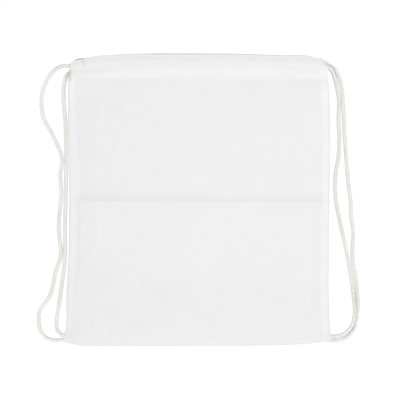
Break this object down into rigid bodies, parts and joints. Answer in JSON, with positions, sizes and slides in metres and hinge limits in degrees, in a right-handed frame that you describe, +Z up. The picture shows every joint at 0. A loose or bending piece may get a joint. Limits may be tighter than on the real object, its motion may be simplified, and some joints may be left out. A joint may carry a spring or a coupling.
{
  "type": "drawstring rucksack",
  "caption": "Plain cotton drawstring rucksack lying flat on its back, with twisted cords through the hem of its mouth that are sewn in at the bottom corners and serve as shoulder straps.",
  "frame": {"origin": "middle of the lying bag's outline, without the cords, on the surface that its back lies on", "axes": "+X to the right across the bag, +Y from the bottom fold to the mouth, +Z up from the surface"},
  "size_m": [0.4591, 0.4165, 0.0227],
  "materials": {
    "cotton_cloth": "matt plain weave",
    "cotton_cord": "matt twisted cord",
    "label_cloth": "matt smooth weave"
  },
  "bodies": {
    "root": {"front_panel": "cotton_cloth", "back_panel": "cotton_cloth", "left_seam": "cotton_cloth", "right_seam": "cotton_cloth", "bottom_fold": "cotton_cloth", "mouth_hem": "cotton_cloth", "left_cord": "cotton_cord", "right_cord": "cotton_cord", "side_label": "label_cloth"}
  },
  "joints": []
}
